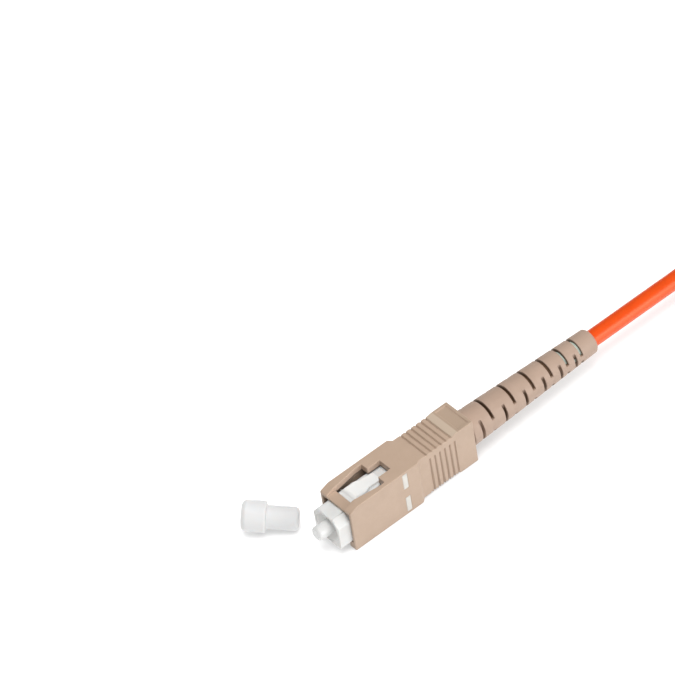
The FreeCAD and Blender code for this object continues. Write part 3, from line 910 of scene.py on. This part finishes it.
@dataclass
class PlugFrame:
    """The white inner frame."""

    edge: float = 0.15 * MM
    long_edge: float = 0.4 * MM
    long_segments: int = 5
    sharper_than: float = 25.0
    long_sharper_than: float = 30.0
    lengthwise: float = 0.95
    nose: tuple[float, float] = (8.0 * MM, 15.4 * MM)
    outside: float = 2.95 * MM
    cavity: float = 2.7 * MM
    mouth: float = 15.2 * MM
    cavity_back: float = 4.0 * MM
    ear_foot: float = 7.56 * MM
    ear_half_width: float = 1.75 * MM
    painted_ear_glow: float = 0.7

    def build(self) -> None:
        """Round the frame's edges and dress it."""
        shape = packed_copy("plug_frame")
        round_edges(shape, self.long_edge, self.long_sharper_than, self.long_segments, self.is_long_nose)
        round_edges(shape, self.edge, self.sharper_than)
        # Painted light: emission in the cavity and on the latch ears.
        mark(shape.verts, "painted_glow", self.painted_glow)
        piece = finish_piece(shape, "frame_shell", Body.CORE, Finish.FRAME)
        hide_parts("plug_frame")

    def is_long_nose(self, edge: bmesh.types.BMEdge) -> bool:
        """Whether an edge runs lengthwise on the outside of the nose."""
        first, second = (corner.co for corner in edge.verts)
        along = abs(first.x - second.x) > self.lengthwise * (first - second).length
        return along and all(p.x > self.nose[0] and off_axis(p) > self.outside and p.z > AXIS_HEIGHT
                             for p in (first, second))

    def painted_glow(self, corner: bmesh.types.BMVert) -> float:
        """How strongly a vertex of the cavity or of a latch ear glows: painted light by emission in these
        shaded places.
        """
        place = corner.co
        inside = off_axis(place) < self.cavity and self.cavity_back < place.x < self.mouth
        on_ear = place.z > self.ear_foot and abs(place.y) < self.ear_half_width
        return 1.0 if inside else self.painted_ear_glow if on_ear else 0.0


@dataclass
class FerruleGroup:
    """The ceramic ferrule with what is fixed to it."""

    tip_edge: float = 0.22 * MM
    tip_segments: int = 5
    tip_length: float = 1.0 * MM
    sharper_than: float = 30.0
    bore_clear: float = 0.5 * MM

    def build(self) -> None:
        """Dress the ferrule, its flange, its guide tube and the fibre."""
        shape = packed_copy("ferrule")
        tip = max(corner.co.x for corner in shape.verts) - self.tip_length
        round_edges(shape, self.tip_edge, self.sharper_than, self.tip_segments,
                    lambda edge: all(c.co.x > tip and off_axis(c.co) > self.bore_clear for c in edge.verts))
        piece = finish_piece(shape, "ferrule_polished", Body.FERRULE, Finish.CERAMIC)
        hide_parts("ferrule")
        for node, finish in (("ferrule_flange", Finish.PLATED), ("guide_tube", Finish.GUIDE),
                             ("bare_fibre", Finish.GLASS)):
            finish.on(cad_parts[node])


@dataclass
class StrainRelief:
    """The boot and what it hides: stop ring, yarn, crimp, sleeve, spring and fibre."""

    edge: float = 0.08 * MM
    sharper_than: float = 28.0
    front: tuple[float, float] = (-13.3 * MM, 3.1 * MM)
    back: tuple[float, float] = (-39.9 * MM, 2.18 * MM)

    def build(self) -> None:
        """Round the boot's edges and dress the inner pieces."""
        shape = packed_copy("boot")
        round_edges(shape, self.edge, self.sharper_than)
        # Painted shade: the boot's slots darken with depth below its surface.
        mark(shape.verts, "depth",
             lambda corner: self.depth(corner.co) if corner.co.x > self.back[0] else 0.0)
        boot = finish_piece(shape, "boot_notched", Body.CORE, Finish.BOOT)
        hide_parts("boot")
        for node, finish in (("stop_ring", Finish.PLATED), ("aramid_yarn", Finish.YARN),
                             ("crimp_sleeve", Finish.CRIMP), ("cable_sleeve", Finish.SLEEVE),
                             ("spring", Finish.SPRING), ("buffered_fibre", Finish.BUFFER)):
            finish.on(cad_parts[node])

    def depth(self, place: Vector) -> float:
        """How far a place lies below the boot's tapering surface; the slots darken with it as painted
        shade.
        """
        share = (place.x - self.front[0]) / (self.back[0] - self.front[0])
        return self.front[1] + (self.back[1] - self.front[1]) * share - off_axis(place)


@dataclass
class DustCap:
    """The white cap, taken off and lying by itself."""

    edge: float = 0.3 * MM
    segments: int = 5
    sharper_than: float = 25.0

    def build(self) -> None:
        """Round the cap's edges and dress it."""
        shape = packed_copy("dust_cap")
        round_edges(shape, self.edge, self.sharper_than, self.segments)
        piece = finish_piece(shape, "cap_turned", Body.CORE, Finish.CAP)
        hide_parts("dust_cap")


def main() -> None:
    """Build the scene in order."""
    logging.basicConfig(level=logging.INFO, format="%(message)s")
    Studio().build()
    for assembly in (FibreCable(), GripHousing(), PlugFrame(), FerruleGroup(), StrainRelief(), DustCap()):
        assembly.build()
        log.info("%s built", type(assembly).__name__)


if __name__ == "__main__":
    main()
